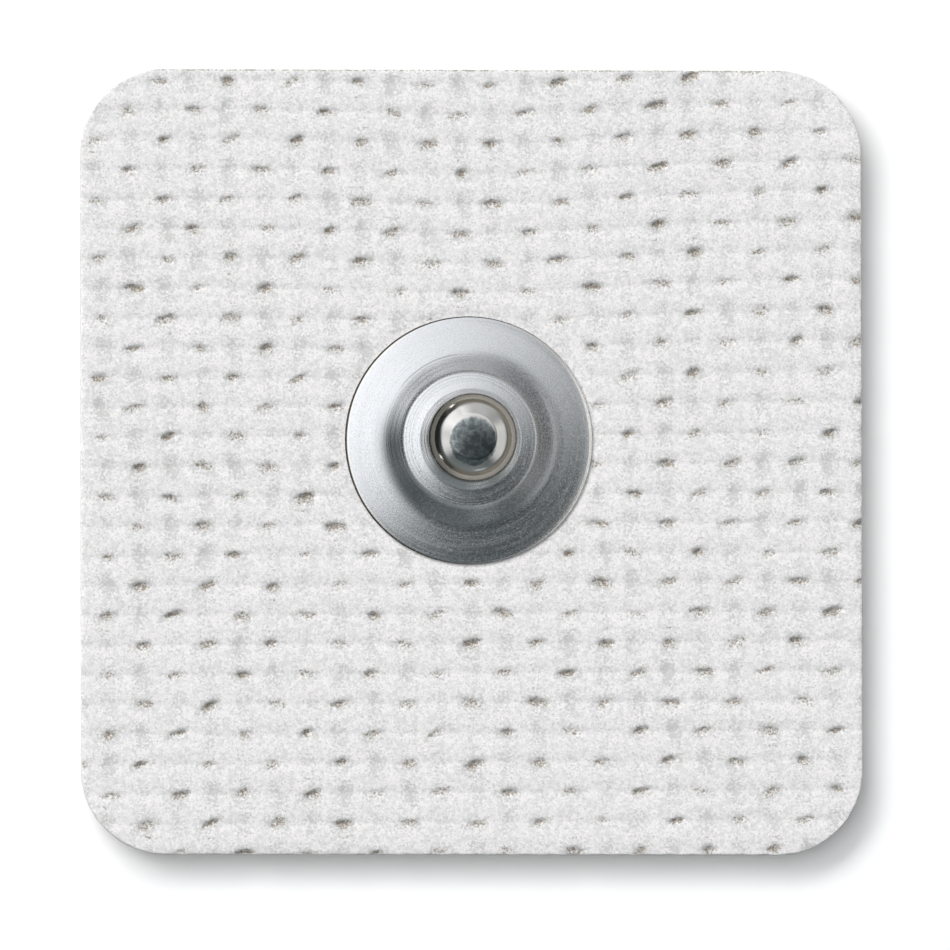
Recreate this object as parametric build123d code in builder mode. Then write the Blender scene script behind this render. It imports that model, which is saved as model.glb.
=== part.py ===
from build123d import *
import math
import os

os.makedirs("parts", exist_ok=True)

# A disposable monitoring electrode: a square of woven cloth tape with a stamped snap stud.
# Lengths are millimetres. Z runs from the skin up to the snap, X along the ridges of the weave,
# and the origin is the middle of the cloth, at the level of the face that lies on the skin.

# Woven cloth tape
cloth_width = 35.0  # along X
cloth_length = 35.1  # along Y
cloth_corner_radius = 3.8
cloth_thickness = 0.40  # from the adhesive up to the valleys of the weave
ridge_height = 0.06  # how far a ridge stands above the valleys
ridge_pitch = 1.33  # from one valley to the next, along Y
thread_pitch = 1.476  # from one crossing thread to the next, along X
weave_x = -0.31  # where the weave lies on the cut square
weave_y = -0.15
thread_lean_share = -0.0215  # how far the crossing threads lean to the side as they run along Y

# Gaps of the weave: they lie in the valleys, in every second space between crossing threads
gap_length = 0.60
gap_width = 0.26
gap_hem = 0.50  # bare cloth between a gap and the cut edge
gap_cycle = 5  # of this many gaps in a valley,
gaps_open = 2  # this many go right through the cloth

# Adhesive under the cloth, and conductive gel under the adhesive
film_thickness = 0.08
gel_radius = 8.5
gel_thickness = 0.90
gel_edge_bevel = 0.20

# Snap stud, pressed from one sheet
stud_x = -0.15  # its axis, from the middle of the cloth
stud_y = 0.97
sheet_gauge = 0.25
rim_radius = 5.54
rim_land = 0.37  # outer edge that lies flat on the cloth
rim_fall = 0.06  # how far the top of this edge falls towards the rim
rim_bevel = 0.08  # broken edge of the cut rim
flange_rise = 0.21  # of the shallow cone, from the land to the foot of the slope
slope_width = 0.92
slope_rise = 0.45
shoulder_width = 1.26
shoulder_rise = 0.20
neck_undercut = 0.28  # how far the neck lies inside the head
neck_height = 0.43  # from the shoulder up to the underside of the head
head_radius = 2.0  # the size that the lead's clip takes
head_flare = 0.36  # height over which the neck widens to the head
head_land = 0.55  # straight wall of the head
crown_radius = 1.0  # round edge of the crown

# Bends of the sheet, on its outer face: the creases that have none here are sharp
foot_bend = 2.40
edge_bend = 0.60
root_bend = 0.30
head_bend = 0.32

# Sensor eyelet: a disc in the gel, and a post up through the cloth into the hollow stud
disc_radius = 5.0
disc_thickness = 0.45
disc_bevel = 0.12
post_flare = 0.20  # how much higher than the stud the post widens

# Clearances
seat_margin = 0.15  # pressed cloth that shows round the stud
hole_clearance = 0.05  # between the post and the layers that it passes through
neck_clearance = 0.04  # between the post and the inside of the neck
head_clearance = 0.12  # between the wide end of the post and the inside of the head
recess_clearance = 0.05  # between the disc's rim and the gel

# Levels of the layers, from the skin up
film_level = gel_thickness
cloth_level = film_level + film_thickness
seat_level = cloth_level + cloth_thickness
disc_level = film_level - disc_thickness

# Levels of the stud's outer face
rim_top = seat_level + sheet_gauge
foot_level = rim_top + flange_rise
edge_level = foot_level + slope_rise
root_level = edge_level + shoulder_rise
flare_level = root_level + neck_height
land_level = flare_level + head_flare
crown_level = land_level + head_land + crown_radius

# Radii of the stud's outer face
neck_radius = head_radius - neck_undercut
edge_radius = neck_radius + shoulder_width
foot_radius = edge_radius + slope_width

# Post of the eyelet, from the inside of the stud
post_radius = neck_radius - sheet_gauge - neck_clearance
post_hole_radius = post_radius + hole_clearance
post_end_radius = head_radius - sheet_gauge - head_clearance
post_end_level = crown_level - sheet_gauge - head_clearance
post_end_bevel = crown_radius - sheet_gauge - head_clearance

stud_axis = Axis((stud_x, stud_y, 0), (0, 0, 1))
# Section plane through the stud's axis: its x is the radius and its y is the height
section_plane = Plane(origin=(stud_x, stud_y, 0), x_dir=(1, 0, 0), z_dir=(0, -1, 0))


def stud_plane(level):
    """A flat plane at this level, with its origin on the stud's axis."""
    return Plane(origin=(stud_x, stud_y, level), x_dir=(1, 0, 0), z_dir=(0, 0, 1))


def inner_corners(corners, depth):
    """The corners of the line that runs at this depth to the left of a line of corners."""
    points = [Vector(*corner) for corner in corners]
    sides = [(end - start).normalized().rotate(Axis.Z, 90) for start, end in zip(points, points[1:])]
    inner = [points[0] + sides[0] * depth]
    for corner, before, after in zip(points[1:], sides, sides[1:]):
        inner.append(corner + (before + after) * (depth / (1 + before.dot(after))))
    inner.append(points[-1] + sides[-1] * depth)
    return inner


def clear_of_cut_edge(x, y):
    """Whether a gap centred at x, y leaves the hem free, corners included."""
    room = cloth_corner_radius - gap_hem - gap_length / 2
    past_x = max(abs(x) - (cloth_width / 2 - cloth_corner_radius), 0)
    past_y = max(abs(y) - (cloth_length / 2 - cloth_corner_radius), 0)
    return math.hypot(past_x, past_y) < room


def clear_of_stud(x, y):
    """Whether a gap centred at x, y lies outside the pressed seat of the stud."""
    reach = rim_radius + seat_margin + gap_hem
    return math.hypot(x - stud_x, y - stud_y) > reach


def is_open(row, column):
    """Whether this gap goes through: as many in each valley, unevenly from valley to valley."""
    return (2 * column + row * row) % gap_cycle < gaps_open


def open_gap_places():
    """Centres of the gaps that go through: neighbouring valleys are staggered by one thread."""
    gap_pitch = 2 * thread_pitch
    rows = int(cloth_length / 2 / ridge_pitch)
    columns = int(cloth_width / 2 / gap_pitch) + 1
    places = []
    for row in range(-rows, rows + 1):
        for column in range(-columns, columns + 1):
            y = row * ridge_pitch + weave_y
            x = column * gap_pitch + (row % 2) * thread_pitch + weave_x + thread_lean_share * y
            if is_open(row, column) and clear_of_cut_edge(x, y) and clear_of_stud(x, y):
                places.append((x, y))
    return places


# Cloth: a ridged web cut to a square with round corners, pressed flat under the stud
with BuildPart() as backing_cloth:
    half_ridges = math.ceil(cloth_length / 2 / ridge_pitch) + 1
    web_start = weave_y - half_ridges * ridge_pitch
    web_end = weave_y + half_ridges * ridge_pitch
    with BuildSketch(Plane.YZ.offset(-cloth_width / 2)):
        with BuildLine():
            Line((web_start, seat_level), (web_start, cloth_level))
            Line((web_start, cloth_level), (web_end, cloth_level))
            Line((web_end, cloth_level), (web_end, seat_level))
            for ridge in range(-half_ridges, half_ridges):
                valley = weave_y + ridge * ridge_pitch
                ThreePointArc(
                    (valley, seat_level),
                    (valley + ridge_pitch / 2, seat_level + ridge_height),
                    (valley + ridge_pitch, seat_level),
                )
        make_face()
    extrude(amount=cloth_width)
    with BuildSketch(Plane.XY.offset(cloth_level)):
        RectangleRounded(cloth_width, cloth_length, cloth_corner_radius)
    extrude(amount=cloth_thickness + ridge_height, mode=Mode.INTERSECT)
    with BuildSketch(stud_plane(seat_level)):
        Circle(rim_radius + seat_margin)
    extrude(amount=ridge_height, mode=Mode.SUBTRACT)
    with BuildSketch(stud_plane(cloth_level)):
        Circle(post_hole_radius)
    extrude(amount=cloth_thickness, mode=Mode.SUBTRACT)
    with BuildSketch(Plane.XY.offset(cloth_level)):
        with Locations(*open_gap_places()):
            Rectangle(gap_length, gap_width)
    extrude(amount=cloth_thickness + ridge_height, mode=Mode.SUBTRACT)
backing_cloth.part.label = "backing_cloth"
export_step(backing_cloth.part, "parts/backing_cloth.step")

# Adhesive: it covers the whole underside of the cloth and closes the gaps from below
with BuildPart() as adhesive_film:
    with BuildSketch(Plane.XY.offset(film_level)):
        RectangleRounded(cloth_width, cloth_length, cloth_corner_radius)
        with Locations((stud_x, stud_y)):
            Circle(post_hole_radius, mode=Mode.SUBTRACT)
    extrude(amount=film_thickness)
adhesive_film.part.label = "adhesive_film"
export_step(adhesive_film.part, "parts/adhesive_film.step")

# Snap stud: the outer line of the pressed sheet and its inner line, turned about the axis
with BuildPart() as snap_stud:
    outer_corners = [
        (rim_radius, rim_top),
        (rim_radius - rim_land, rim_top),
        (foot_radius, foot_level),
        (edge_radius, edge_level),
        (neck_radius, root_level),
        (neck_radius, flare_level),
        (head_radius, land_level),
        (head_radius, crown_level),
        (0, crown_level),
    ]
    with BuildSketch(section_plane):
        with BuildLine():
            outer = FilletPolyline(
                (rim_radius, rim_top - rim_fall),
                *outer_corners[1:],
                radius=[0, foot_bend, edge_bend, root_bend, 0, head_bend, crown_radius],
            )
            inner = FilletPolyline(
                *inner_corners(outer_corners, sheet_gauge),
                radius=[0, 0, 0, 0, 0, 0, crown_radius - sheet_gauge],
            )
            Line(outer @ 0, inner @ 0)
            Line(outer @ 1, inner @ 1)
        make_face()
    revolve(axis=stud_axis)
    rim_edges = snap_stud.edges().filter_by(GeomType.CIRCLE).sort_by(SortBy.RADIUS)[-2:]
    chamfer(rim_edges.sort_by(Axis.Z)[-1], length=rim_bevel)
snap_stud.part.label = "snap_stud"
export_step(snap_stud.part, "parts/snap_stud.step")

# Sensor eyelet: disc, post through the layers, and the wider end that holds the stud
with BuildPart() as sensor_eyelet:
    with BuildSketch(section_plane):
        with BuildLine():
            Polyline(
                (0, post_end_level),
                (0, disc_level),
                (disc_radius, disc_level),
                (disc_radius, film_level),
                (post_radius, film_level),
                (post_radius, flare_level + post_flare),
                (post_end_radius, land_level + post_flare),
                (post_end_radius, post_end_level),
                (0, post_end_level),
            )
        make_face()
    revolve(axis=stud_axis)
    rings = sensor_eyelet.edges().filter_by(GeomType.CIRCLE).sort_by(Axis.Z)
    chamfer(rings[-1], length=post_end_bevel)
    rings = sensor_eyelet.edges().filter_by(GeomType.CIRCLE).sort_by(Axis.Z)
    chamfer(rings[0], length=disc_bevel)
sensor_eyelet.part.label = "sensor_eyelet"
export_step(sensor_eyelet.part, "parts/sensor_eyelet.step")

# Gel: a flat disc with a recess that takes the sensor's disc
with BuildPart() as gel_pad:
    with BuildSketch(stud_plane(0)):
        Circle(gel_radius)
    extrude(amount=gel_thickness)
    with BuildSketch(stud_plane(disc_level)):
        Circle(disc_radius + recess_clearance)
    extrude(amount=disc_thickness, mode=Mode.SUBTRACT)
    chamfer(gel_pad.edges().filter_by(GeomType.CIRCLE).sort_by(Axis.Z)[0], length=gel_edge_bevel)
gel_pad.part.label = "gel_pad"
export_step(gel_pad.part, "parts/gel_pad.step")
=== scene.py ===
import math

import bpy
import numpy as np
from mathutils import Matrix, Vector


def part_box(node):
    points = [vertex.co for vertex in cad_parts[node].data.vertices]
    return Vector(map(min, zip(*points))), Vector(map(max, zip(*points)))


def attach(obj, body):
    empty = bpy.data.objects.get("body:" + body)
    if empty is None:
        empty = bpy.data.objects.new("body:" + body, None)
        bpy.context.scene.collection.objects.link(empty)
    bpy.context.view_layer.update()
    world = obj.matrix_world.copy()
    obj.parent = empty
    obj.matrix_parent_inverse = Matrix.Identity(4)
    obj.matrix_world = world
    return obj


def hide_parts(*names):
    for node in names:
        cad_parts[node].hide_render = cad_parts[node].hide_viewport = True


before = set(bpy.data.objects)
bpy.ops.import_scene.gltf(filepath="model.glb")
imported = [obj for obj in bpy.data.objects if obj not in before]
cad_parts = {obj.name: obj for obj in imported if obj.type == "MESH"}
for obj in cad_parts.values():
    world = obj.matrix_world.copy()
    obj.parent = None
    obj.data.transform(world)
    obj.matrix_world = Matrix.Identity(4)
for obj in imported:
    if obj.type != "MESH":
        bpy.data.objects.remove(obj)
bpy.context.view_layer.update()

# A disposable monitoring electrode, seen from above on a white ground.
# Lengths are metres here, and MM turns sizes given in millimetres into metres. Most of the named sizes
# are the part's own. Some are finer, where the real object is softer or rounder than the solids.
MM = 0.001

# The CAD solids that the pieces stand for
cloth_low, cloth_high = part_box("backing_cloth")
film_low, film_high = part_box("adhesive_film")
stud_low, stud_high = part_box("snap_stud")
gel_low, gel_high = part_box("gel_pad")
eyelet_low, eyelet_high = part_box("sensor_eyelet")
stud_x = (stud_low.x + stud_high.x) / 2
stud_y = (stud_low.y + stud_high.y) / 2
half_width = (cloth_high.x - cloth_low.x) / 2
half_length = (cloth_high.y - cloth_low.y) / 2

# Woven cloth tape
cloth_corner_radius = 3.8 * MM
ridge_height = 0.06 * MM
ridge_pitch = 1.33 * MM
thread_pitch = 1.476 * MM
weave_x = -0.31 * MM
weave_y = -0.15 * MM
thread_lean_share = -0.0215
seat_level = cloth_high.z - ridge_height
seat_radius = 5.69 * MM
cloth_thickness = seat_level - cloth_low.z

# Gaps of the weave
gap_cycle = 5
gaps_open = 2
gap_half_length = 0.34 * MM
gap_half_width = 0.14 * MM

# Snap stud
sheet_gauge = 0.25 * MM
rim_radius = 5.54 * MM
rim_land = 0.37 * MM
rim_fall = 0.09 * MM
flange_rise = 0.21 * MM
slope_width = 0.92 * MM
slope_rise = 0.45 * MM
shoulder_width = 1.26 * MM
shoulder_rise = 0.20 * MM
neck_undercut = 0.28 * MM
neck_height = 0.43 * MM
head_radius = 2.0 * MM
head_flare = 0.36 * MM
dome_radius = 11.0 * MM
crown_cone = math.radians(22)
flat_radius = 1.02 * MM

# Sensor eyelet and gel
disc_radius = 5.0 * MM
post_radius = 1.43 * MM
post_hole_radius = 1.48 * MM
post_end_radius = 1.63 * MM
post_flare_level = 3.12 * MM
post_end_level = 3.48 * MM
gel_radius = 8.5 * MM
recess_radius = 5.05 * MM


def smooth_step(low, high, value):
    """0 below low, 1 above high, and an even curve between them."""
    t = np.clip((value - low) / (high - low), 0, 1)
    return t * t * (3 - 2 * t)


# Meshes


def mesh_piece(name, points, faces, material, sharp_angle=math.radians(40)):
    """A piece of points in metres and faces, which rides on the part and takes one material."""
    mesh = bpy.data.meshes.new(name)
    mesh.from_pydata([tuple(p) for p in points], [], [tuple(int(i) for i in f) for f in faces])
    mesh.validate()
    mesh.shade_smooth()
    mesh.set_sharp_from_angle(angle=sharp_angle)
    mesh.materials.append(material)
    piece = bpy.data.objects.new(name, mesh)
    bpy.context.scene.collection.objects.link(piece)
    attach(piece, "root")
    return piece


def strip(lower, upper):
    """Four-sided faces between two closed rings of as many points."""
    return [
        (lower[i - 1], lower[i], upper[i], upper[i - 1])
        for i in range(len(lower))
    ]


def turn_of(point):
    """The angle of a point about the stud's axis."""
    return math.atan2(point[1] - stud_y, point[0] - stud_x)


def on_circle(radius, turn, height):
    """The point at this angle on a circle round the stud's axis."""
    return (stud_x + radius * math.cos(turn), stud_y + radius * math.sin(turn), height)


def bridge(ring_a, ring_b, points):
    """Triangles between two rings of different counts, walked by their angle about the stud."""
    a = sorted(ring_a, key=lambda i: turn_of(points[i]))
    b = sorted(ring_b, key=lambda i: turn_of(points[i]))
    turns_a = [turn_of(points[i]) for i in a] + [turn_of(points[a[0]]) + 2 * math.pi]
    turns_b = [turn_of(points[i]) for i in b] + [turn_of(points[b[0]]) + 2 * math.pi]
    faces, i, j = [], 0, 0
    while i < len(a) or j < len(b):
        if j == len(b) or (i < len(a) and turns_a[i + 1] <= turns_b[j + 1]):
            faces.append((a[i % len(a)], a[(i + 1) % len(a)], b[j % len(b)]))
            i += 1
        else:
            faces.append((a[i % len(a)], b[(j + 1) % len(b)], b[j % len(b)]))
            j += 1
    return faces


def rounded_line(corners, radii, step=math.radians(4)):
    """The line through these corners, with each bent into an arc of its radius, in short steps."""
    line = [Vector(corners[0])]
    for before, corner, after, radius in zip(corners, corners[1:], corners[2:], radii):
        corner = Vector(corner)
        back = (Vector(before) - corner).normalized()
        ahead = (Vector(after) - corner).normalized()
        turn = math.pi - back.angle(ahead)
        if radius == 0 or turn < step:
            line.append(corner)
            continue
        reach = radius * math.tan(turn / 2)
        middle = corner + (back + ahead).normalized() * (radius / math.cos(turn / 2))
        first = corner + back * reach - middle
        side = 1 if ahead.x * back.y - ahead.y * back.x > 0 else -1
        steps = max(2, round(turn / step))
        for k in range(steps + 1):
            line.append(middle + Matrix.Rotation(side * turn * k / steps, 2) @ first)
    line.append(Vector(corners[-1]))
    return line


def divided(line, longest):
    """The same line with its long runs divided into shorter ones."""
    points = [line[0]]
    for start, end in zip(line, line[1:]):
        steps = max(1, math.ceil((end - start).length / longest))
        points.extend(start.lerp(end, k / steps) for k in range(1, steps + 1))
    return points


def turned(name, line, material, segments, sharp_angle=math.radians(40)):
    """A closed piece turned about the stud's axis from a line of (radius, height).

    The line runs from axis to axis, or ends where it starts."""
    closed = (line[0] - line[-1]).length < 1e-9
    points, faces, rings = [], [], []
    for radius, height in line[:-1] if closed else line:
        if radius < 1e-9:
            points.append((stud_x, stud_y, height))
            rings.append([len(points) - 1])
            continue
        rings.append(range(len(points), len(points) + segments))
        for k in range(segments):
            points.append(on_circle(radius, 2 * math.pi * k / segments, height))
    if closed:
        rings.append(rings[0])
    for low, high in zip(rings, rings[1:]):
        if len(low) == 1 and len(high) == 1:
            continue
        if len(low) == 1:
            faces.extend((low[0], high[i], high[i - 1]) for i in range(segments))
        elif len(high) == 1:
            faces.extend((low[i - 1], low[i], high[0]) for i in range(segments))
        else:
            faces.extend(strip(low, high))
    return mesh_piece(name, points, faces, material, sharp_angle)


# Materials


def new_material(name):
    """A material with its tree, its shader and its output."""
    material = bpy.data.materials.new(name)
    material.use_nodes = True
    tree = material.node_tree
    return material, tree, tree.nodes["Principled BSDF"]


def node(tree, kind, inputs=None, **settings):
    """A new node with its settings, and its inputs given by name or number: a socket is linked."""
    made = tree.nodes.new(kind)
    for key, value in settings.items():
        setattr(made, key, value)
    for key, value in (inputs or {}).items():
        if isinstance(value, bpy.types.NodeSocket):
            tree.links.new(value, made.inputs[key])
        else:
            made.inputs[key].default_value = value
    return made


def calc(tree, operation, a, b=0.0, c=0.0):
    """One step of arithmetic on sockets or numbers."""
    return node(tree, "ShaderNodeMath", {0: a, 1: b, 2: c}, operation=operation).outputs[0]


def times(tree, first, *others):
    """The product of sockets or numbers."""
    for other in others:
        first = calc(tree, "MULTIPLY", first, other)
    return first


def plus(tree, first, *others):
    """The sum of sockets or numbers."""
    for other in others:
        first = calc(tree, "ADD", first, other)
    return first


def length(tree, across, along):
    """The length of a line with these two parts."""
    return calc(tree, "SQRT", plus(tree, times(tree, across, across), times(tree, along, along)))


def between(tree, share, a, b):
    """The number a where share is 0 and b where it is 1."""
    return plus(tree, times(tree, calc(tree, "SUBTRACT", 1.0, share), a), times(tree, share, b))


def fade(tree, value, low, high, start=0.0, end=1.0):
    """A smooth change from start to end while value goes from low to high."""
    inputs = {"Value": value, "From Min": low, "From Max": high, "To Min": start, "To Max": end}
    return node(tree, "ShaderNodeMapRange", inputs, interpolation_type="SMOOTHSTEP").outputs[0]


def grain(tree, place, scale, detail=2.0, roughness=0.5):
    """Cloudy noise about a half, with features of about 1/scale."""
    inputs = {"Vector": place, "Scale": scale, "Detail": detail, "Roughness": roughness}
    return node(tree, "ShaderNodeTexNoise", inputs).outputs["Fac"]


def blend(tree, share, a, b, mode="MIX"):
    """The colour a where share is 0 and b where it is 1."""
    made = node(tree, "ShaderNodeMix", {0: share, 6: a, 7: b}, data_type="RGBA", blend_type=mode)
    return made.outputs[2]


def place_in_mm(tree):
    """The object's own coordinates in millimetres."""
    coords = node(tree, "ShaderNodeTexCoord").outputs["Object"]
    scaled = node(tree, "ShaderNodeVectorMath", {0: coords, "Scale": 1 / MM}, operation="SCALE")
    return scaled.outputs[0]


def bump(tree, height, distance):
    """A normal raised by this height, which is a share of the distance."""
    return node(tree, "ShaderNodeBump", {"Height": height, "Distance": distance}).outputs[0]


def cloudy(tree, noise, a, b):
    """The colour a in the low half of a noise and b in its high half."""
    return blend(tree, fade(tree, noise, 0.3, 0.7), a, b)


# Colours of the cloth
cloth_grey_white = (0.895, 0.861, 0.861, 1)
cloth_white = (0.92, 0.886, 0.889, 1)
fibre_shade = (0.73, 0.725, 0.72, 1)
fleck_shade = (0.69, 0.685, 0.69, 1)
smudge_grey = (0.565, 0.567, 0.558, 1)
# brown of the adhesive under the gaps, with painted shade in them
gap_brown_and_painted_shade = (0.28, 0.235, 0.185, 1)
upper_edge_brown = (0.30, 0.29, 0.24, 1)


def weave_shade(tree, place):
    """How much of a gap's core and of its grey halo lies at a place, with ragged borders."""
    spot = node(tree, "ShaderNodeAttribute", attribute_name="spot").outputs["Vector"]
    across, along, strength = node(tree, "ShaderNodeSeparateXYZ", {0: spot}).outputs
    ragged = node(tree, "ShaderNodeTexNoise", {"Vector": place, "Scale": 4.5, "Detail": 3.0})
    red, green, _ = node(tree, "ShaderNodeSeparateColor", {0: ragged.outputs["Color"]}).outputs
    u = calc(tree, "MULTIPLY_ADD", calc(tree, "SUBTRACT", red, 0.5), 1.4, across)
    v = calc(tree, "MULTIPLY_ADD", calc(tree, "SUBTRACT", green, 0.5), 2.6, along)
    reach = length(tree, u, v)
    # gaps have a strength above zero, and the smudges between them one below zero
    gap = calc(tree, "MAXIMUM", strength, 0.0)
    smudge = calc(tree, "MAXIMUM", times(tree, strength, -1.0), 0.0)
    core = times(tree, fade(tree, reach, 1.5, 0.5), gap)
    halo = times(tree, fade(tree, reach, 3.4, 0.5), plus(tree, gap, smudge))
    return core, halo


def woven_cloth():
    """White cloth of fine fibres, with the gaps in the weave painted brownish dark, for the adhesive under
    them and for painted shade in them, and grey smudges between them.
    """
    material, tree, shader = new_material("white_cloth")
    place = place_in_mm(tree)
    core, halo = weave_shade(tree, place)

    # the gaps' painted shade and the grey halos show as more and darker specks between the white fibres
    fibres = grain(tree, place, 9.0, 2.5, 0.65)
    speckle = grain(tree, place, 15.0, 2.0, 0.65)
    broken = calc(tree, "MULTIPLY_ADD", speckle, 0.45, times(tree, fibres, 0.55))
    grey = fade(tree, calc(tree, "MULTIPLY_ADD", halo, 0.25, fibres), 0.50, 0.72)
    dark = fade(tree, calc(tree, "MULTIPLY_ADD", core, 0.115, broken), 0.535, 0.645)
    dark = times(tree, dark, fade(tree, core, 0.0, 0.25))
    fleck = fade(tree, grain(tree, place, 4.0, 2.0, 0.6), 0.44, 0.68)

    # a thin brownish line darkens the upper cut edge
    _, y, z = node(tree, "ShaderNodeSeparateXYZ", {0: place}).outputs
    edge, surface = half_length / MM, seat_level / MM
    upper_edge_line = times(tree, fade(tree, y, edge - 0.09, edge - 0.04), fade(tree, fibres, 0.40, 0.60))
    upper_edge_line = times(tree, upper_edge_line, fade(tree, z, surface - 0.10, surface - 0.03))

    base = cloudy(tree, grain(tree, place, 0.9), cloth_grey_white, cloth_white)
    base = blend(tree, fade(tree, speckle, 0.66, 0.34), base, fibre_shade)
    base = blend(tree, fleck, base, fleck_shade)
    base = blend(tree, grey, base, smudge_grey)
    # painted shade in the gaps, with the adhesive's brown
    base = blend(tree, dark, base, gap_brown_and_painted_shade)
    base = blend(tree, upper_edge_line, base, upper_edge_brown)
    tree.links.new(base, shader.inputs["Base Color"])
    height = plus(tree, speckle, times(tree, fibres, 1.5))
    tree.links.new(bump(tree, height, 0.006 * MM), shader.inputs["Normal"])
    shader.inputs["Roughness"].default_value = 0.92
    shader.inputs["Specular IOR Level"].default_value = 0.25
    shader.inputs["Sheen Weight"].default_value = 0.08
    return material


def tacky_film():
    """The adhesive coat: pale yellowish, half clear and slightly uneven."""
    material, tree, shader = new_material("adhesive")
    place = place_in_mm(tree)
    base = cloudy(tree, grain(tree, place, 1.6, 3.0), (0.60, 0.56, 0.47, 1), (0.70, 0.67, 0.60, 1))
    rough = fade(tree, grain(tree, place, 5.0), 0.3, 0.7, 0.22, 0.42)
    tree.links.new(base, shader.inputs["Base Color"])
    tree.links.new(rough, shader.inputs["Roughness"])
    tree.links.new(bump(tree, grain(tree, place, 3.0), 0.02 * MM), shader.inputs["Normal"])
    return material


# Colours of the steel
satin_low = (0.41, 0.42, 0.43, 1)
satin_high = (0.46, 0.47, 0.485, 1)
satin_speck = (0.385, 0.40, 0.415, 1)
# painted shade on the slope, darkest at the left
slope_shade_low = (0.17, 0.18, 0.19, 1)
slope_shade_high = (0.30, 0.31, 0.32, 1)
slope_shade_left = (0.11, 0.12, 0.125, 1)
line_grey = (0.20, 0.21, 0.22, 1)
# the rim: a lighter band with a painted highlight, and painted shade on its cut edge
rim_satin = (0.48, 0.48, 0.47, 1)
rim_painted_highlight = (0.88, 0.87, 0.85, 1)
rim_edge_painted_shade = (0.06, 0.055, 0.045, 1)
head_low = (0.35, 0.348, 0.342, 1)
head_high = (0.385, 0.382, 0.378, 1)
# the head's rounded side: a warm tint, with painted shade at the left
round_right = (0.33, 0.315, 0.28, 1)
round_shade_left = (0.17, 0.165, 0.145, 1)
# painted dark reflection on the flat of the crown
crown_reflection_dark = (0.10, 0.115, 0.12, 1)
crown_reflection_light = (0.20, 0.22, 0.225, 1)


def about_stud(tree, place):
    """In millimetres from the stud's axis: x, y, z and the radius. Then the way out, as its x and its y."""
    axis = (stud_x / MM, stud_y / MM, 0.0)
    offset = node(tree, "ShaderNodeVectorMath", {0: place, 1: axis}, operation="SUBTRACT").outputs[0]
    x, y, z = node(tree, "ShaderNodeSeparateXYZ", {0: offset}).outputs
    radius = length(tree, x, y)
    safe = calc(tree, "MAXIMUM", radius, 0.05)
    return x, y, z, radius, calc(tree, "DIVIDE", x, safe), calc(tree, "DIVIDE", y, safe)


def ring_noise(tree, radius, scale, detail, roughness, side=None, up=None):
    """Noise that changes with the radius, and slowly round the stud where the way out is given."""
    streak = 1.3
    inputs = {2: times(tree, radius, scale)}
    if side is not None:
        inputs.update({0: times(tree, side, streak), 1: times(tree, up, streak)})
    return grain(tree, node(tree, "ShaderNodeCombineXYZ", inputs).outputs[0], 1.0, detail, roughness)


def slope_painted_shade(tree, satin, speckle, radius, side, ahead):
    """The satin with painted shade on the slope, which makes it darker than the flange, darkest at the left
    and least at its upper left.
    """
    share = times(tree, fade(tree, radius, 3.02, 3.20), fade(tree, radius, 4.40, 3.55))
    share = times(tree, share, fade(tree, ahead, 0.40, 0.90, 1.0, 0.25))
    painted_dark = blend(tree, fade(tree, speckle, 0.36, 0.64), slope_shade_low, slope_shade_high)
    painted_dark = blend(tree, fade(tree, side, -0.40, -0.90), painted_dark, slope_shade_left)
    return blend(tree, share, satin, painted_dark)


def line_colour(tree, satin, radius, ahead):
    """The satin with fine turned lines on the shoulder, and a groove at the foot of the slope."""
    groove_radius, groove_half_width = 3.86, 0.06
    lines = fade(tree, ring_noise(tree, radius, 9.0, 1.0, 0.5), 0.46, 0.36)
    lines = times(tree, lines, fade(tree, radius, 3.1, 2.9))
    off = calc(tree, "ABSOLUTE", calc(tree, "SUBTRACT", radius, groove_radius))
    groove = times(tree, fade(tree, off, groove_half_width, 0.0), fade(tree, ahead, 0.90, 0.97, 0.0, 0.8))
    return blend(tree, calc(tree, "MAXIMUM", times(tree, lines, 0.38), groove), satin, line_grey)


def rim_colour(tree, satin, radius, side, up):
    """The satin with the rim: a lighter band just inside, taken as burnished, with a painted highlight that
    is brightest at the right and below, and painted shade on the cut edge, which shows most at the left.
    """
    rim = rim_radius / MM
    highlight_band = fade(tree, radius, rim - 0.18, rim - 0.10)
    highlight_band = times(tree, highlight_band, fade(tree, calc(tree, "ABSOLUTE", side), 0.2, 0.8))
    low_side = calc(tree, "MULTIPLY_ADD", up, -0.5, side)
    highlight_colour = blend(tree, fade(tree, low_side, 0.3, 0.95), rim_satin, rim_painted_highlight)
    satin = blend(tree, highlight_band, satin, highlight_colour)
    # the painted shade on the cut edge reaches further in at the left
    lean = calc(tree, "MULTIPLY_ADD", up, 0.010, times(tree, side, -0.050))
    return blend(tree, fade(tree, plus(tree, radius, lean), rim - 0.055, rim - 0.02), satin, rim_edge_painted_shade)


def crown_share(tree, mottle, x, y, z):
    """1 on the flat of the crown, which is a little rougher and carries a painted dark reflection; the patch
    is slightly oval, lies a little low and has an uneven border.
    """
    low_y = times(tree, plus(tree, y, 0.21), 0.95)
    reach = length(tree, plus(tree, x, 0.05), low_y)
    share = fade(tree, calc(tree, "MULTIPLY_ADD", mottle, 0.20, reach), 1.19, 1.07)
    high = stud_high.z / MM
    return times(tree, share, fade(tree, z, high - 0.5, high - 0.4))


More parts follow.
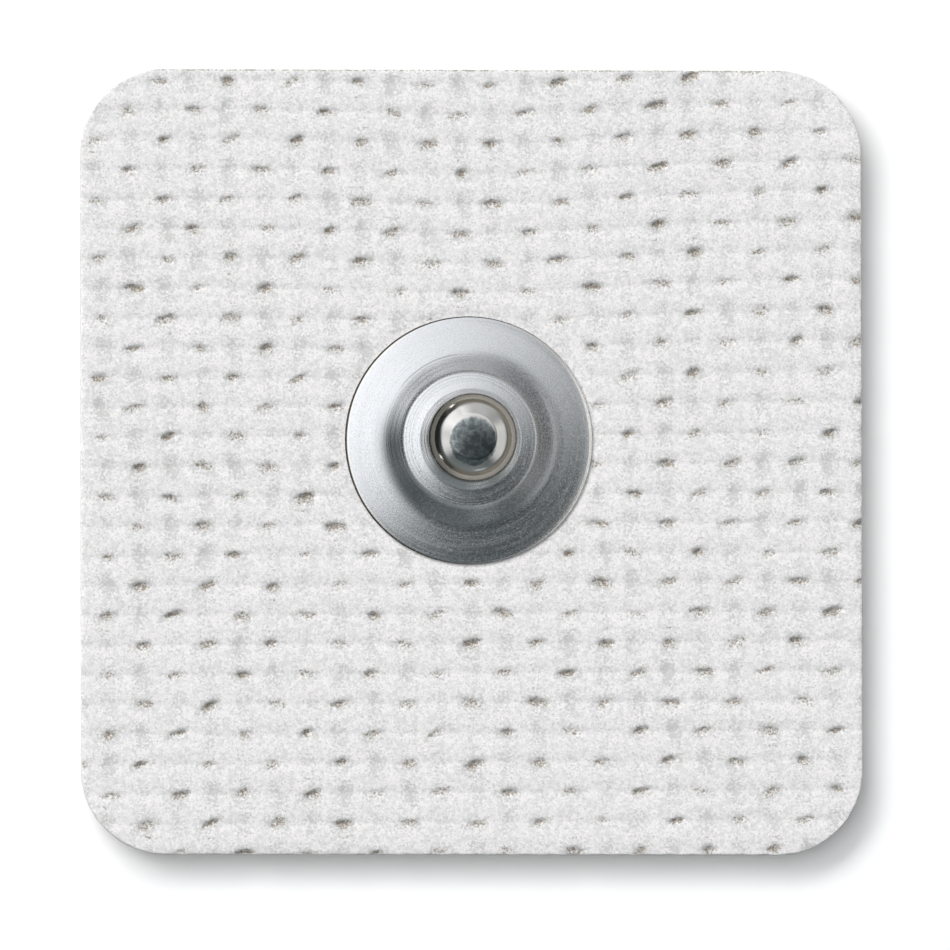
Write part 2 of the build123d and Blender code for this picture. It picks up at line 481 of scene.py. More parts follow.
def turned_steel():
    """Stamped stainless sheet: satin flange with turning marks and painted shade on its slope, a rim with a
    painted highlight and painted shade, a bright head with painted shade on its left side, and a painted dark
    reflection on the flat of its crown.
    """
    material, tree, shader = new_material("stamped_steel")
    place = place_in_mm(tree)
    x, y, z, radius, side, up = about_stud(tree, place)
    high = stud_high.z / MM
    # how far a place lies towards the upper left
    ahead = calc(tree, "MULTIPLY_ADD", up, 0.87, times(tree, side, -0.5))

    # marks run round the stud in long streaks, grooves run right round it
    marks = ring_noise(tree, radius, 14.0, 3.0, 0.65, side, up)
    grooves = ring_noise(tree, radius, 4.5, 2.0, 0.6)
    grooves = times(tree, grooves, fade(tree, radius, 3.10, 2.90, 0.8, 2.6))
    speckle = grain(tree, place, 16.0, 2.0, 0.6)
    mottle = grain(tree, place, 4.5, 3.0, 0.6)
    head = fade(tree, z, high - 2.4, high - 2.1)
    crown = crown_share(tree, mottle, x, y, z)

    satin = blend(tree, fade(tree, marks, 0.35, 0.65), satin_low, satin_high)
    satin = blend(tree, fade(tree, speckle, 0.35, 0.65), satin_speck, satin)
    # painted shade on the slope
    satin = slope_painted_shade(tree, satin, speckle, radius, side, ahead)
    satin = line_colour(tree, satin, radius, ahead)
    # a painted highlight inside the rim and painted shade on its cut edge
    satin = rim_colour(tree, satin, radius, side, up)
    bright = cloudy(tree, grain(tree, place, 1.5), head_low, head_high)
    # the head's rounded side takes a warm tint, painted darker at the left as shade
    round_tint_and_shade = blend(tree, fade(tree, side, -0.20, -0.80), round_right, round_shade_left)
    bright = blend(tree, fade(tree, z, high - 0.19, high - 0.36), bright, round_tint_and_shade)
    # painted dark reflection on the flat of the crown
    painted_dark = blend(tree, fade(tree, mottle, 0.38, 0.66), crown_reflection_dark, crown_reflection_light)
    base = blend(tree, crown, blend(tree, head, satin, bright), painted_dark)
    tree.links.new(base, shader.inputs["Base Color"])

    satin_rough = fade(tree, marks, 0.3, 0.7, 0.22, 0.29)
    satin_rough = plus(tree, satin_rough, fade(tree, speckle, 0.50, 0.72, 0.0, 0.20))
    rough = between(tree, crown, between(tree, head, satin_rough, 0.17), 0.20)
    tree.links.new(rough, shader.inputs["Roughness"])

    # the head is nearly smooth, and its crown a little less so
    relief = calc(tree, "MULTIPLY_ADD", crown, 0.10, calc(tree, "MULTIPLY_ADD", head, -0.93, 1.0))
    height = calc(tree, "MULTIPLY_ADD", grooves, 2.0, plus(tree, speckle, marks))
    tree.links.new(bump(tree, times(tree, height, relief), 0.004 * MM), shader.inputs["Normal"])
    shader.inputs["Metallic"].default_value = 1.0
    return material


def silvered_plastic():
    """The sensor's coat: matte grey with a fine grain."""
    material, tree, shader = new_material("silvered_plastic")
    place = place_in_mm(tree)
    base = cloudy(tree, grain(tree, place, 2.0, 3.0), (0.44, 0.43, 0.41, 1), (0.56, 0.55, 0.54, 1))
    rough = fade(tree, grain(tree, place, 12.0), 0.3, 0.7, 0.38, 0.58)
    tree.links.new(base, shader.inputs["Base Color"])
    tree.links.new(rough, shader.inputs["Roughness"])
    tree.links.new(bump(tree, grain(tree, place, 20.0), 0.003 * MM), shader.inputs["Normal"])
    shader.inputs["Metallic"].default_value = 0.65
    return material


def wet_gel():
    """Clear bluish gel with a wet skin."""
    material, tree, shader = new_material("clear_gel")
    place = place_in_mm(tree)
    base = cloudy(tree, grain(tree, place, 0.8, 3.0), (0.74, 0.80, 0.82, 1), (0.84, 0.88, 0.89, 1))
    rough = fade(tree, grain(tree, place, 2.5), 0.3, 0.7, 0.05, 0.14)
    tree.links.new(base, shader.inputs["Base Color"])
    tree.links.new(rough, shader.inputs["Roughness"])
    tree.links.new(bump(tree, grain(tree, place, 1.6), 0.02 * MM), shader.inputs["Normal"])
    shader.inputs["Transmission Weight"].default_value = 0.7
    shader.inputs["IOR"].default_value = 1.36
    return material


# Weave


weave_seed = 11
row_tilt_share = 0.0083  # how far the rows of the weave rise to the right
sag_depth = 0.30 * MM  # the upper rows sag in the middle
sag_width = 6.0 * MM
sag_start = -2.0 * MM
sag_full = 9.0 * MM
lift = 0.22 * MM  # and rise at the upper right
rows = math.ceil(half_length / ridge_pitch) + 1
spaces = math.ceil(half_width / thread_pitch) + 2

# Strengths of gaps and smudges, where 1 is the deepest and darkest
weak_shares = (0.45, 0.90)
strong_shares = (0.70, 1.0)
smudge_shares = (0.15, 0.80)

# Sizes and places of gaps and smudges
gap_length_shares = (0.7, 1.25)
gap_width_shares = (0.75, 1.35)
smudge_half_length = 0.17 * MM
smudge_half_width = 0.34 * MM
lean_angle, lean_spread = 4, 11  # degrees
gap_shift, gap_spread = 0.10, 0.08  # mm to the right
row_spread = 0.03  # mm

# Depths in the cloth's upper face
ridge_share, thread_share, fuzz_share = 0.78, 0.14, 0.04  # of the ridges' height
open_share, closed_share = 0.45, 0.22  # of the cloth's thickness
smudge_depth = 0.05 * MM


def wave(x, y):
    """How far the rows lie above their straight places."""
    upper = smooth_step(sag_start, sag_full, y)
    right = smooth_step(0.0, half_width, x)
    return row_tilt_share * x + upper * (lift * right - sag_depth * np.exp(-((x / sag_width) ** 2)))


def weave_tables():
    """For each row and each space between threads: its strength, half sizes, lean and shift."""
    chance = np.random.default_rng(weave_seed)
    shape = (2 * rows + 1, 2 * spaces + 1)
    row, space = np.mgrid[-rows:rows + 1, -spaces:spaces + 1]
    is_gap = (row + space) % 2 == 0
    column = (space - row % 2) // 2
    is_open = is_gap & ((2 * column + row * row) % gap_cycle < gaps_open)
    weak = chance.uniform(*weak_shares, shape)
    strong = chance.uniform(*strong_shares, shape)
    smudge = chance.uniform(*smudge_shares, shape)
    gap_u = gap_half_length * chance.uniform(*gap_length_shares, shape)
    gap_v = gap_half_width * chance.uniform(*gap_width_shares, shape)
    return {
        "open": is_open,
        "strength": np.where(is_open, strong, np.where(is_gap, weak, -smudge)),
        "half_u": np.where(is_gap, gap_u, smudge_half_length),
        "half_v": np.where(is_gap, gap_v, smudge_half_width),
        "lean": np.radians(chance.normal(lean_angle, lean_spread, shape)),
        "shift_u": chance.normal(gap_shift, gap_spread, shape) * MM,
        "shift_v": chance.normal(0, row_spread, shape) * MM,
    }


def weave_lines(x, y):
    """A place counted in rows and in spaces of the weave."""
    row_line = (y - weave_y - wave(x, y)) / ridge_pitch
    space_line = (x - weave_x - thread_lean_share * y) / thread_pitch
    return row_line, space_line


def spots_at(x, y, tables):
    """The nearest spot of the weave: the place in its half sizes, its strength, and whether it is open."""
    row_line, space_line = weave_lines(x, y)
    row = np.clip(np.rint(row_line), -rows, rows)
    space = np.clip(np.rint(space_line), -spaces, spaces)
    cell = ((row + rows).astype(int), (space + spaces).astype(int))
    u = (space_line - space) * thread_pitch - tables["shift_u"][cell]
    v = (row_line - row) * ridge_pitch - tables["shift_v"][cell]
    lean = tables["lean"][cell]
    along = (u * np.cos(lean) + v * np.sin(lean)) / tables["half_u"][cell]
    across = (v * np.cos(lean) - u * np.sin(lean)) / tables["half_v"][cell]
    # spots fade out at the borders of their space, and near the pressed seat
    clear = smooth_step(0.47, 0.36, np.abs(space_line - space))
    clear = clear * smooth_step(0.47, 0.38, np.abs(row_line - row))
    stud_gap = np.hypot(x - stud_x, y - stud_y) - seat_radius
    strength = tables["strength"][cell] * clear * smooth_step(-0.25 * MM, 0.15 * MM, stud_gap)
    return along, across, strength, tables["open"][cell]


def cloth_heights(x, y, tables):
    """The upper face of the cloth: ridges, crossing threads, gaps and the pressed seat."""
    along, across, strength, is_open = spots_at(x, y, tables)
    row_line, space_line = weave_lines(x, y)
    ridge = np.abs(np.sin(np.pi * row_line)) ** 0.8
    thread = 0.5 - 0.5 * np.cos(2 * np.pi * (space_line + 0.5 * np.rint(row_line)))
    fuzz = np.sin(x / (0.31 * MM) + 3 * np.sin(y / (0.47 * MM)))
    fuzz = fuzz * np.sin(y / (0.23 * MM) + 2 * np.sin(x / (0.59 * MM)))
    woven = ridge_height * (ridge_share * ridge + thread_share * thread + fuzz_share * fuzz)
    reach = np.hypot(along, across)
    gap = np.maximum(strength, 0) * smooth_step(1.35, 0.55, reach)
    dent = np.maximum(-strength, 0) * smooth_step(1.8, 0.3, reach)
    deep = np.where(is_open, open_share, closed_share) * cloth_thickness
    outside = np.hypot(x - stud_x, y - stud_y) - seat_radius
    woven = woven * smooth_step(-0.05 * MM, 0.35 * MM, outside)
    return seat_level + woven - gap * deep - dent * smudge_depth


# Cloth


edge_round = 0.05 * MM
edge_fall = 0.012 * MM  # of the upper face, where the cut edge begins
edge_rough = 0.012 * MM
column_pitch = 0.112 * MM
valley_steps = (-0.52, -0.37, -0.25, -0.17, -0.10, -0.035, 0.035, 0.10, 0.17, 0.25, 0.37, 0.52)  # mm
covered_radius = 5.1 * MM  # inside this the cloth is flat, under the stud
calm_width = 1.5 * MM  # over which the mesh lines begin to follow the rows


def grid_lines():
    """Columns at an even pitch, and rows that crowd at the valleys of the weave."""
    width, along = half_width - edge_round, half_length - edge_round
    columns = np.linspace(-width, width, 2 * round(width / column_pitch) + 1)
    lines = []
    for row in range(-rows, rows + 1):
        lines.extend(row * ridge_pitch + weave_y + step * MM for step in valley_steps)
    lines = [y for y in sorted(lines) if abs(y) < along - 0.04 * MM]
    return columns, np.array([-along, *lines, along])


def outline_normal(x, y, inset):
    """How far a point lies outside the rounded square set in by this much, and the way out."""
    radius = cloth_corner_radius - inset
    past_x = np.abs(x) - (half_width - cloth_corner_radius)
    past_y = np.abs(y) - (half_length - cloth_corner_radius)
    corner = (past_x > 0) & (past_y > 0)
    reach = np.where(corner, np.hypot(past_x, past_y), np.maximum(past_x, past_y))
    safe = np.maximum(reach, 1e-9)
    out_x = np.where(corner, past_x / safe, (past_x > past_y)) * np.sign(x)
    out_y = np.where(corner, past_y / safe, (past_y >= past_x)) * np.sign(y)
    return reach - radius, out_x, out_y


def loops_of(faces):
    """The closed rings of edges that only one face uses, each in order."""
    edges = np.concatenate([faces[:, [i, (i + 1) % 4]] for i in range(4)])
    ordered = np.sort(edges, axis=1)
    keys = ordered[:, 0].astype(np.int64) * (faces.max() + 1) + ordered[:, 1]
    _, first, count = np.unique(keys, return_index=True, return_counts=True)
    following = {int(a): int(b) for a, b in edges[first[count == 1]]}
    loops = []
    while following:
        start = next(iter(following))
        loop = [start]
        while (after := following.pop(loop[-1])) != start:
            loop.append(after)
        loops.append(loop)
    return loops


def cloth_grid():
    """The flat grid of the upper face: its points, pulled in to the cut outline, and its faces.

    Inside the covered radius it has a round hole."""
    columns, lines = grid_lines()
    x, y = (a.ravel() for a in np.meshgrid(columns, lines))
    index = np.arange(len(x)).reshape(len(lines), len(columns))
    corners = (index[:-1, :-1], index[:-1, 1:], index[1:, 1:], index[1:, :-1])
    faces = np.stack(corners, axis=-1).reshape(-1, 4)
    beyond, out_x, out_y = outline_normal(x, y, edge_round)
    from_stud = np.hypot(x - stud_x, y - stud_y)
    outside, under = beyond > 1e-9, from_stud < covered_radius
    faces = faces[~outside[faces].all(axis=1) & ~under[faces].all(axis=1)]
    x = np.where(outside, x - out_x * beyond, x)
    y = np.where(outside, y - out_y * beyond, y)
    push = np.where(under, covered_radius / np.maximum(from_stud, 1e-9), 1.0)
    x, y = stud_x + (x - stud_x) * push, stud_y + (y - stud_y) * push
    used = np.unique(faces)
    renumber = np.zeros(len(x), int)
    renumber[used] = np.arange(len(used))
    return x[used], y[used], renumber[faces]


def waved(x, y):
    """The y of the mesh lines, which follow the rows, but not at the cut edges or the stud."""
    inward = -outline_normal(x, y, edge_round)[0]
    outward = np.hypot(x - stud_x, y - stud_y) - covered_radius
    calm = smooth_step(0.0, calm_width, inward) * smooth_step(0.0, calm_width, outward)
    return y + wave(x, y) * calm


def copied_ring(points, loop, place):
    """A copy of a loop of points, with each point put where place says."""
    start = len(points)
    points.extend([place(points[i]) for i in loop])
    return list(range(start, start + len(loop)))


def at_cut_edge(out, drop):
    """Puts points of the outline this far out and down, or at the underside where there is no drop."""
    def place(point):
        _, way_x, way_y = outline_normal(np.float64(point[0]), np.float64(point[1]), edge_round)
        rough = edge_rough * math.sin(point[0] / (0.17 * MM)) * math.sin(point[1] / (0.13 * MM) + 1)
        away = out + rough
        height = cloth_low.z if drop is None else point[2] - drop
        return (point[0] + float(way_x) * away, point[1] + float(way_y) * away, height)
    return place


def at_hole(height):
    """Puts points on the rim of the post's hole, at this height."""
    def place(point):
        return on_circle(post_hole_radius, turn_of(point), height)
    return place


def backing_cloth(material):
    """The woven square: upper face, rounded cut edge, pressed seat, hole and flat underside."""
    x, y, faces = cloth_grid()
    y = waved(x, y)
    tables = weave_tables()
    z = cloth_heights(x, y, tables)
    z -= edge_fall * smooth_step(0.12 * MM, 0.0, -outline_normal(x, y, edge_round)[0])
    points = [tuple(p) for p in np.stack([x, y, z], axis=1)]
    along, across, strength, _ = spots_at(x, y, tables)
    spots = [tuple(p) for p in np.stack([along, across, strength], axis=1)]

    loops = sorted(loops_of(faces), key=len)
    faces = [tuple(f) for f in faces]
    inner, outer = loops[0], loops[-1]
    edge_steps = ((0.6, 0.012 * MM), (0.95, 0.05 * MM), (1.0, 0.2 * MM), (1.0, None))
    upper = outer
    for share, drop in edge_steps:
        lower = copied_ring(points, outer, at_cut_edge(share * edge_round, drop))
        faces.extend(strip(lower, upper))
        upper = lower
    bottom = upper
    seat = copied_ring(points, inner, at_hole(seat_level))
    faces.extend(strip(seat, inner))
    hole = copied_ring(points, inner, at_hole(cloth_low.z))
    faces.extend(strip(hole, seat))
    faces.extend(bridge(bottom, hole, points))
    # no spot reaches the edges and the underside
    spots.extend([(9.0, 9.0, 0.0)] * (len(points) - len(spots)))

    piece = mesh_piece("woven_cloth", points, faces, material, math.radians(80))
    attribute = piece.data.attributes.new("spot", "FLOAT_VECTOR", "POINT")
    attribute.data.foreach_set("vector", np.array(spots, np.float32).ravel())
    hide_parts("backing_cloth")
    return piece


# Film, stud, eyelet and gel


def rounded_square(inset, height, corner_steps=24):
    """The cut outline, set in by this much, at one height."""
    radius = cloth_corner_radius - inset
    middle_x, middle_y = half_width - cloth_corner_radius, half_length - cloth_corner_radius
    points = []
    for quarter, (side_x, side_y) in enumerate(((1, 1), (-1, 1), (-1, -1), (1, -1))):
        for k in range(corner_steps + 1):
            turn = (quarter + k / corner_steps) * math.pi / 2
            points.append((
                side_x * middle_x + radius * math.cos(turn),
                side_y * middle_y + radius * math.sin(turn),
                height,
            ))
    return points


def adhesive_coat(material):
    """The adhesive under the cloth, cut with it, with the post's hole and slightly rounded edges."""
    film = film_high.z - film_low.z
    hole_steps = 96
    levels = (
        (0.03 * MM, film_low.z),
        (0.008 * MM, film_low.z + 0.2 * film),
        (0.0, film_low.z + 0.5 * film),
        (0.0, film_high.z),
    )
    points, rings = [], []
    for inset, height in levels:
        outline = rounded_square(inset, height)
        rings.append(list(range(len(points), len(points) + len(outline))))
        points.extend(outline)
    holes = []
    for height in (film_low.z, film_high.z):
        holes.append(list(range(len(points), len(points) + hole_steps)))
        for k in range(hole_steps):
            points.append(on_circle(post_hole_radius, 2 * math.pi * k / hole_steps, height))
    faces = [f for low, high in zip(rings, rings[1:]) for f in strip(low, high)]
    faces.extend(strip(holes[1], holes[0]))
    faces.extend(bridge(rings[0], holes[0], points))
    faces.extend(tuple(reversed(f)) for f in bridge(rings[-1], holes[1], points))
    piece = mesh_piece("adhesive_coat", points, faces, material)
    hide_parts("adhesive_film")
    return piece


# Places on the stud's outer face, where the drawn sheet is softer than the part's own corners
foot_shift = 0.03 * MM
slope_end_out, slope_end_drop = 0.12 * MM, 0.075 * MM
shoulder_end_out, shoulder_end_drop = 0.56 * MM, 0.09 * MM
neck_start_rise = 0.19 * MM
dome_share = 0.9  # of the flat's radius, where its dome begins

# Bends of the stud's sheet, from the underside of the rim to the flat of the crown
outer_bends = (
    0.05 * MM,  # lower edge of the rim
    0.07 * MM,  # upper edge of the rim
    3.0 * MM,  # land to flange
    1.7 * MM,  # foot of the slope
    0.8 * MM,  # top of the slope
    0.4 * MM,  # slope to shoulder
    0.5 * MM,  # end of the shoulder
    0.3 * MM,  # root of the neck
    0.04 * MM,  # neck to flare
    0.32 * MM,  # widest part of the head
    0.93 * MM,  # edge of the crown
    0.35 * MM,  # edge of the flat
)
inner_crown_bend = 0.75 * MM


def dome_drop(radius):
    """How far the domed crown lies below its highest point."""
    return radius**2 / (2 * dome_radius)


def stud_line():
    """The section of the pressed sheet: its outer face from rim to crown, then its inner face back."""
    rim_top = stud_low.z + sheet_gauge
    foot_level = rim_top + flange_rise
    edge_level = foot_level + slope_rise
    root_level = edge_level + shoulder_rise
    flare_level = root_level + neck_height
    land_level = flare_level + head_flare
    crown_level = stud_high.z
    neck_radius = head_radius - neck_undercut
    edge_radius = neck_radius + shoulder_width
    foot_radius = edge_radius + slope_width
    land_radius = rim_radius - rim_land
    flat_level = crown_level - dome_drop(flat_radius)
    cone_level = flat_level - (head_radius - flat_radius) * math.tan(crown_cone)
    dome_start = dome_share * flat_radius
    outer = [
        (rim_radius - rim_land / 2, stud_low.z),
        (rim_radius, stud_low.z),
        (rim_radius, rim_top - rim_fall),
        (land_radius, rim_top),
        (foot_radius - foot_shift, foot_level),
        (edge_radius + slope_end_out, edge_level - slope_end_drop),
        (edge_radius, edge_level),
        (neck_radius + shoulder_end_out, root_level - shoulder_end_drop),
        (neck_radius, root_level + neck_start_rise),
        (neck_radius, flare_level),
        (head_radius, land_level),
        (head_radius, cone_level),
        (flat_radius, flat_level),
        (dome_start, crown_level - dome_drop(dome_start)),
    ]
    outer_line = rounded_line(outer, outer_bends)
    steps = 12
    for k in range(steps - 1, -1, -1):
        radius = dome_start * k / steps
        outer_line.append(Vector((radius, crown_level - dome_drop(radius))))
    inner = [
        (0, crown_level - sheet_gauge),
        (head_radius - sheet_gauge, crown_level - sheet_gauge),
        (head_radius - sheet_gauge, land_level),
        (neck_radius - sheet_gauge, flare_level),
        (neck_radius - sheet_gauge, root_level - sheet_gauge),
        (edge_radius - 0.2 * sheet_gauge, edge_level - sheet_gauge),
        (foot_radius - 0.2 * sheet_gauge, foot_level - sheet_gauge),
        (land_radius, stud_low.z),
        (rim_radius - rim_land / 2, stud_low.z),
    ]
    inner_bends = [inner_crown_bend, 0, 0, 0, 0, 0, 0]
    inner_line = rounded_line(inner, inner_bends, math.radians(12))
    return divided(outer_line, 0.06 * MM) + divided(inner_line, 0.5 * MM)


def snap_stud(material):
    """The stamped shell, turned fine enough for clean reflections."""
    piece = turned("snap_stud_shell", stud_line(), material, 300, math.radians(50))
    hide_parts("snap_stud")
    return piece


def sensor_eyelet(material):
    """Disc in the gel, post through the layers and its wider end in the head, with broken edges."""
    corners = [
        (0, eyelet_low.z),
        (disc_radius, eyelet_low.z),
        (disc_radius, film_low.z),
        (post_radius, film_low.z),
        (post_radius, post_flare_level),
        (post_end_radius, post_end_level),
        (post_end_radius, eyelet_high.z),
        (0, eyelet_high.z),
    ]
    bends = [0.12 * MM, 0.04 * MM, 0, 0.2 * MM, 0.2 * MM, 0.63 * MM]
    piece = turned("eyelet_with_post", rounded_line(corners, bends, math.radians(9)), material, 160)
    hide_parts("sensor_eyelet")
    return piece


def gel_disc(material):
    """The gel with its rounded lower edge and the recess that takes the sensor's disc."""
    corners = [
        (0, gel_low.z),
        (gel_radius, gel_low.z),
        (gel_radius, gel_high.z),
        (recess_radius, gel_high.z),
        (recess_radius, eyelet_low.z),
        (0, eyelet_low.z),
    ]
    bends = [0.25 * MM, 0.03 * MM, 0, 0]
    piece = turned("gel_disc", rounded_line(corners, bends, math.radians(9)), material, 200)
    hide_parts("gel_pad")
    return piece


# Room: floor, lights and camera


lamp_height = 2.0

# Colours of light
white = (1.0, 0.99, 0.995, 1)
pale = (1.0, 0.995, 0.97, 1)
cool = (0.90, 0.985, 1.0, 1)
tan = (1.0, 0.955, 0.88, 1)
room_dark = (0.062, 0.075, 0.078, 1)
glass_dark = (0.16, 0.19, 0.195, 1)
paper_white = (0.80, 0.80, 0.80, 1)
paper_glow = (0.20, 0.20, 0.205, 1)

# Cards of light: the middle, the half size, the turn in degrees, the level as a share of the lamps' height,
# the strength, the colour, and the shares of the half size that are even before the light fades.
# Places and sizes are in units of the card's height, so a place is the tangent of its angle from straight up.
key_card = ("key", (-0.475, 0.39), (0.86, 0.76), 33, 1.0, 2.5, white, 0.135, 0.72)
weak_cards = (
    ("beyond", (0.42, 1.35), (0.87, 1.5), 36, 0.98, 1.1, white, 0.95, 0.1),
    ("right", (1.0, -0.07), (0.44, 0.86), 0, 0.96, 1.5, pale, 0.3, 0.55),
    ("far_right", (3.2, 0.6), (2.4, 2.0), 0, 0.95, 0.28, tan, 0.3, 0.2),
    ("left", (-0.90, -0.27), (0.28, 0.50), 0, 0.94, 1.4, white, 0.2, 0.2),
    ("low", (-0.40, -1.7), (2.6, 1.5), -10, 0.92, 0.38, cool, 0.2, 0.5),
    ("low_right", (0.38, -1.28), (0.34, 0.16), 0, 0.90, 1.6, pale, 0.3, 0.3),
)

# Low screens round the part: where each starts and ends, in degrees, and its strength
wall_radius, wall_height, wall_foot = 1.4, 0.68, 0.01  # in lamp heights
walls = (
    ("wall_right", -75, 60, 0.55),
    ("wall_upper", 60, 112, 0.45),
    ("wall_upper_end", 112, 136, 0.26),
    ("wall_lower_end", 216, 240, 0.25),
    ("wall_lower", 240, 285, 0.42),
)

# Lamp for the shadow, in lamp heights, and two small sparks, each with its turn in degrees
lamp_place, lamp_size, lamp_turn, lamp_strength = (-0.80, 0.95), (1.3, 0.9), 40, 9.3
sparks = (("spark_upper", 120.5), ("spark_lower", 211.5))
spark_size, spark_rise, spark_strength = 0.12, 0.13, 12.0

# Dark card above the part, in lamp heights
dark_place, dark_level, dark_radius = (0.10, -0.04), 0.90, 0.19


def emitter(name):
    """A material for light, with its tree, from which the plain shader is taken out."""
    material = bpy.data.materials.new(name)
    material.use_nodes = True
    material.node_tree.nodes.clear()
    return material, material.node_tree


def room_mesh(name, points, faces, material):
    """A mesh of the room with one material."""
    mesh = bpy.data.meshes.new(name)
    mesh.from_pydata(points, [], faces)
    mesh.materials.append(material)
    thing = bpy.data.objects.new(name, mesh)
    bpy.context.scene.collection.objects.link(thing)
    return thing


def white_paper():
    """White paper that looks a little brighter than it lights.

    What looks at it directly or in a reflection sees it as on a lit table, while its bounce on the part
    stays that of plain paper."""
    material, tree = emitter("white_paper")
    paper = node(tree, "ShaderNodeBsdfDiffuse", {"Color": paper_white})
    path = node(tree, "ShaderNodeLightPath").outputs
    seen = calc(tree, "MAXIMUM", path["Is Camera Ray"], path["Is Glossy Ray"])
    seen = calc(tree, "MAXIMUM", seen, path["Is Transmission Ray"])
    glow = node(tree, "ShaderNodeEmission", {"Color": paper_glow, "Strength": seen})
    both = node(tree, "ShaderNodeAddShader", {0: paper.outputs[0], 1: glow.outputs[0]})
    node(tree, "ShaderNodeOutputMaterial", {"Surface": both.outputs[0]})
    return material


def ground():
    """A wide white floor just under the part."""
    half, drop = 3.0, 0.01 * MM
    corners = [(-half, -half, -drop), (half, -half, -drop), (half, half, -drop), (-half, half, -drop)]
    floor = room_mesh("ground", corners, [(0, 1, 2, 3)], white_paper())


def feathered_light(name, radiance, colour, flat_x, flat_y):
    """Light that is even over this share of the card's half size and fades out towards its edges.

    Light from behind passes through it."""
    material, tree = emitter(name)
    coords = node(tree, "ShaderNodeTexCoord").outputs["Object"]
    x, y, _ = node(tree, "ShaderNodeSeparateXYZ", {0: coords}).outputs
    across = fade(tree, calc(tree, "ABSOLUTE", x), 1.0, flat_x)
    along = fade(tree, calc(tree, "ABSOLUTE", y), 1.0, flat_y)
    strength = times(tree, across, along, radiance)
    glow = node(tree, "ShaderNodeEmission", {"Color": colour, "Strength": strength})
    clear = node(tree, "ShaderNodeBsdfTransparent")
    both = node(tree, "ShaderNodeAddShader", {0: glow.outputs[0], 1: clear.outputs[0]})
    node(tree, "ShaderNodeOutputMaterial", {"Surface": both.outputs[0]})
    return material


def plain_light(name, radiance, colour):
    """Light that is even all over."""
    material, tree = emitter(name)
    glow = node(tree, "ShaderNodeEmission", {"Color": colour, "Strength": radiance})
    node(tree, "ShaderNodeOutputMaterial", {"Surface": glow.outputs[0]})
    return material


def softbox(name, middle, half, turn, level, radiance, colour, flat_x, flat_y):
    """A card of light above, which the camera doesn't see."""
    height = level * lamp_height
    light = feathered_light(name + "_light", radiance, colour, flat_x, flat_y)
    box = room_mesh(name, [(-1, -1, 0), (-1, 1, 0), (1, 1, 0), (1, -1, 0)], [(0, 1, 2, 3)], light)
    box.location = (middle[0] * height, middle[1] * height, height)
    box.rotation_euler = (0, 0, math.radians(turn))
    box.scale = (half[0] * height, half[1] * height, 1)
    box.visible_camera = False
    return box


def wall(name, start, end, radiance):
    """A low upright screen that curves round the part, between two angles in degrees."""
    radius, steps = wall_radius * lamp_height, 16
    points, faces = [], []
    for k in range(steps + 1):
        turn = math.radians(start + (end - start) * k / steps)
        for level in (wall_foot, wall_height):
            points.append((radius * math.cos(turn), radius * math.sin(turn), level * lamp_height))
        if k:
            faces.append((2 * k - 2, 2 * k, 2 * k + 1, 2 * k - 1))
    screen = room_mesh(name, points, faces, plain_light(name + "_light", radiance, tan))
    screen.visible_camera = False
    return screen


def lamp(name, shape, size, area, radiance):
    """An area lamp, as strong as its area and this radiance make it, which the camera doesn't see."""
    light = bpy.data.lights.new(name, "AREA")
    light.shape = shape
    light.size = size
    light.energy = radiance * math.pi * area
    box = bpy.data.objects.new(name, light)
    box.visible_camera = False
    bpy.context.scene.collection.objects.link(box)
    return box


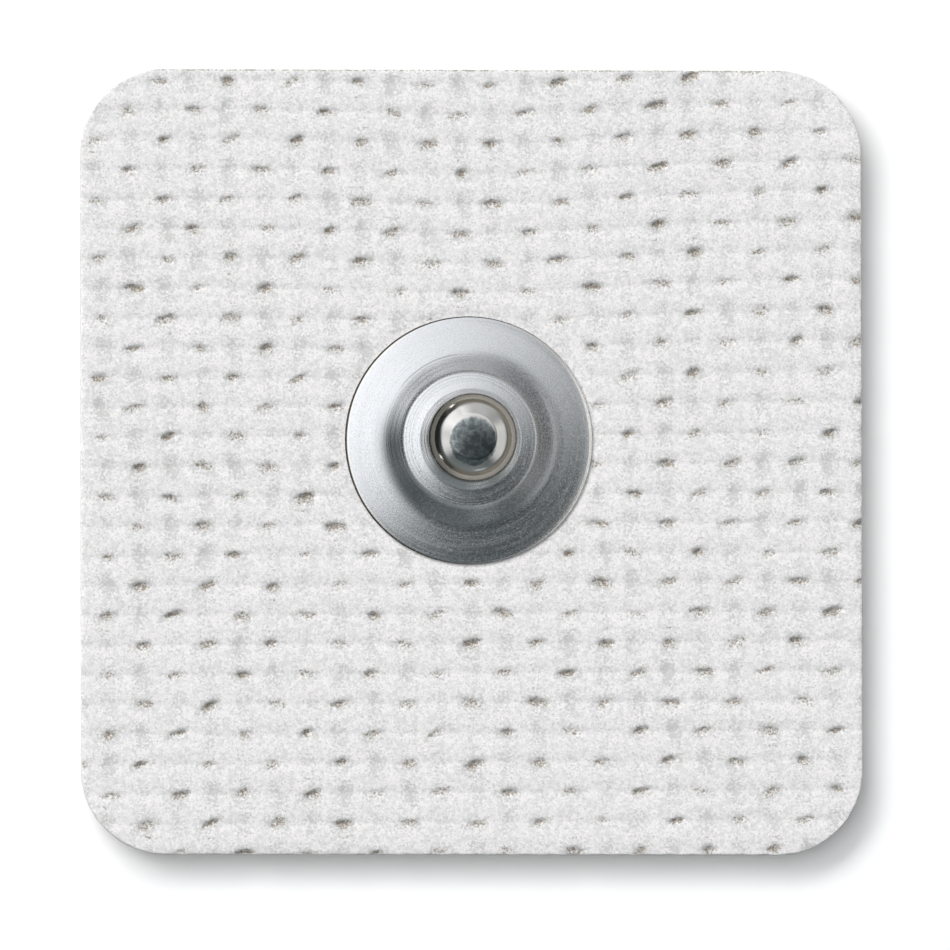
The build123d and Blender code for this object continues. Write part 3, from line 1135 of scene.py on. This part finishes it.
def lights():
    """A large softbox at the upper left with a paler one beyond it, and weak ones at the right and below.

    Low screens give the side of the head something to reflect, and a lamp at the upper left gives the
    shadow. Two sparks show as bright points on the head's edge."""
    softbox(*key_card)
    cards = [softbox(*card) for card in weak_cards] + [wall(*screen) for screen in walls]
    for card in cards:
        card.visible_diffuse = False
    size, size_y = (share * lamp_height for share in lamp_size)
    box = lamp("lamp", "RECTANGLE", size, size * size_y, lamp_strength)
    box.data.size_y = size_y
    box.location = (lamp_place[0] * lamp_height, lamp_place[1] * lamp_height, lamp_height)
    box.rotation_euler = (0, 0, math.radians(lamp_turn))
    box.visible_glossy = False
    for name, turn in sparks:
        size = spark_size * lamp_height
        spark = lamp(name, "DISK", size, math.pi * (size / 2) ** 2, spark_strength)
        way = Vector((math.cos(math.radians(turn)), math.sin(math.radians(turn)), spark_rise))
        spark.location = way * lamp_height
        spark.rotation_euler = way.to_track_quat("Z", "Y").to_euler()
        spark.visible_diffuse = False
    world = bpy.data.worlds.new("room")
    world.use_nodes = True
    world.node_tree.nodes["Background"].inputs["Color"].default_value = room_dark
    bpy.context.scene.world = world


def dark_card():
    """A dark round card above the part, as a camera's glass, which the flat crown of the stud reflects."""
    radius, steps = dark_radius * lamp_height, 48
    turns = [2 * math.pi * k / steps for k in range(steps)]
    ring = [(radius * math.cos(turn), radius * math.sin(turn), 0) for turn in turns]
    card = room_mesh("dark_card", ring, [range(steps)], plain_light("dark_glass", 1.0, glass_dark))
    card.location = (dark_place[0] * lamp_height, dark_place[1] * lamp_height, dark_level * lamp_height)
    card.visible_camera = False
    card.visible_diffuse = False
    card.visible_shadow = False


def camera():
    """A long lens nearly straight above. The head of the stud shifts a little up and to the right."""
    distance, view_width, sensor = 1.5, 42.44 * MM, 36.0
    aim = Vector((0.135 * MM, -0.585 * MM, cloth_high.z))
    back = Vector((-0.078, -0.050, 1.0)).normalized()
    across = Vector((0, 1, 0)).cross(back).normalized()
    along = Vector((1, 0, 0)) - back * back.x
    side = (across + along.normalized()).normalized()
    up = back.cross(side)
    lens = bpy.data.cameras.new("camera")
    lens.sensor_width = sensor
    lens.lens = sensor * distance / view_width
    eye = bpy.data.objects.new("camera", lens)
    turn = Matrix((side, up, back)).transposed()
    eye.matrix_world = Matrix.Translation(aim + back * distance) @ turn.to_4x4()
    bpy.context.scene.collection.objects.link(eye)
    bpy.context.scene.camera = eye


camera()
ground()
lights()
dark_card()
bpy.context.scene.view_settings.view_transform = "Standard"
adhesive_coat(tacky_film())
gel_disc(wet_gel())
sensor_eyelet(silvered_plastic())
backing_cloth(woven_cloth())
snap_stud(turned_steel())
